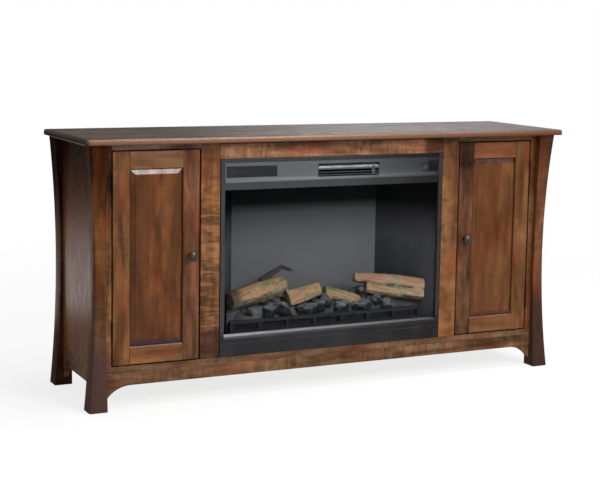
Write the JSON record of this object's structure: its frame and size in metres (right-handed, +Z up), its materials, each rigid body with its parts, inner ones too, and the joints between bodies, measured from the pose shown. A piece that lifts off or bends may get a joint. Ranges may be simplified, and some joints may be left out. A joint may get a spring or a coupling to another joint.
{
  "type": "fireplace tv stand",
  "caption": "Low wooden TV stand with swept posts, an electric fireplace insert in the middle and a raised-panel cupboard door at each side.",
  "frame": {"origin": "on the floor under the middle of the top", "axes": "+X to the right as seen from the front, -Y towards the viewer, +Z up"},
  "size_m": [1.829, 0.483, 0.893],
  "materials": {
    "top_wood": "satin lacquer over dark stain",
    "frame_wood": "satin lacquer over red-brown stain",
    "panel_wood": "satin lacquer over red-brown stain",
    "inner_plywood": "matt, light stain",
    "dark_bronze": "dark bronze, semi-matt",
    "bright_steel": "brushed",
    "black_steel": "black powder coat",
    "fascia_grey": "dark silver-grey paint",
    "gloss_black": "gloss",
    "screen_grey": "frosted grey",
    "grate_iron": "matt black",
    "log_resin": "painted split wood",
    "ember_resin": "painted ash and coals",
    "clear_glass": "clear, polished"
  },
  "bodies": {
    "cabinet": {"top_slab": "top_wood", "post_front_left": "frame_wood", "post_front_right": "frame_wood", "post_back_left": "frame_wood", "post_back_right": "frame_wood", "side_rail_left": "frame_wood", "side_rail_right": "frame_wood", "side_panel_left": "frame_wood", "side_panel_right": "frame_wood", "front_apron": "frame_wood", "bottom_rail": "frame_wood", "outer_stile_left": "frame_wood", "outer_stile_right": "frame_wood", "inner_stile_left": "frame_wood", "inner_stile_right": "frame_wood", "door_header_left": "frame_wood", "door_header_right": "frame_wood", "mantel_rail": "frame_wood", "cabinet_floor": "inner_plywood", "divider_left": "inner_plywood", "divider_right": "inner_plywood", "back_panel": "inner_plywood", "shelf_left": "inner_plywood", "shelf_right": "inner_plywood", "hinge_lower_left": "dark_bronze", "hinge_lower_right": "dark_bronze", "hinge_upper_left": "dark_bronze", "hinge_upper_right": "dark_bronze", "insert_case": "black_steel", "insert_trim": "black_steel", "control_fascia": "fascia_grey", "display_window": "gloss_black", "receiver_window": "gloss_black", "vent_louvre": "bright_steel", "sill_trim": "bright_steel", "glass_pane": "clear_glass", "firebox_walls": "black_steel", "flame_screen": "screen_grey", "grate": "grate_iron", "logs_left": "log_resin", "log_middle": "log_resin", "log_right": "log_resin", "ember_bed": "ember_resin", "blower_housing": "black_steel", "flicker_motor": "black_steel"},
    "left_door": {"door_hinge_stile_left": "frame_wood", "door_knob_stile_left": "frame_wood", "door_top_rail_left": "frame_wood", "door_bottom_rail_left": "frame_wood", "door_panel_left": "panel_wood", "door_knob_left": "dark_bronze"},
    "right_door": {"door_hinge_stile_right": "frame_wood", "door_knob_stile_right": "frame_wood", "door_top_rail_right": "frame_wood", "door_bottom_rail_right": "frame_wood", "door_panel_right": "panel_wood", "door_knob_right": "dark_bronze"},
    "rocker": {"power_rocker": "gloss_black"},
    "blower": {"blower_wheel": "bright_steel"},
    "flicker": {"flicker_rod": "bright_steel"}
  },
  "joints": [
    {"name": "left_door_hinge", "type": "hinge", "parent": "cabinet", "child": "left_door", "pos_m": [-0.80925, -0.1929, 0.49625], "axis": [0, 0, -1], "range_deg": [0, 110]},
    {"name": "right_door_hinge", "type": "hinge", "parent": "cabinet", "child": "right_door", "pos_m": [0.80925, -0.1929, 0.49625], "axis": [0, 0, 1], "range_deg": [0, 110]},
    {"name": "power_rocker_tilt", "type": "hinge", "parent": "cabinet", "child": "rocker", "pos_m": [0.3572, -0.1875, 0.763], "axis": [-1, 0, 0], "range_deg": [0, 12]},
    {"name": "blower_spin", "type": "hinge", "parent": "cabinet", "child": "blower", "pos_m": [0.0513, -0.1185, 0.76235], "axis": [1, 0, 0], "continuous": true},
    {"name": "flicker_spin", "type": "hinge", "parent": "cabinet", "child": "flicker", "pos_m": [0, 0.0868, 0.2118], "axis": [1, 0, 0], "continuous": true}
  ]
}
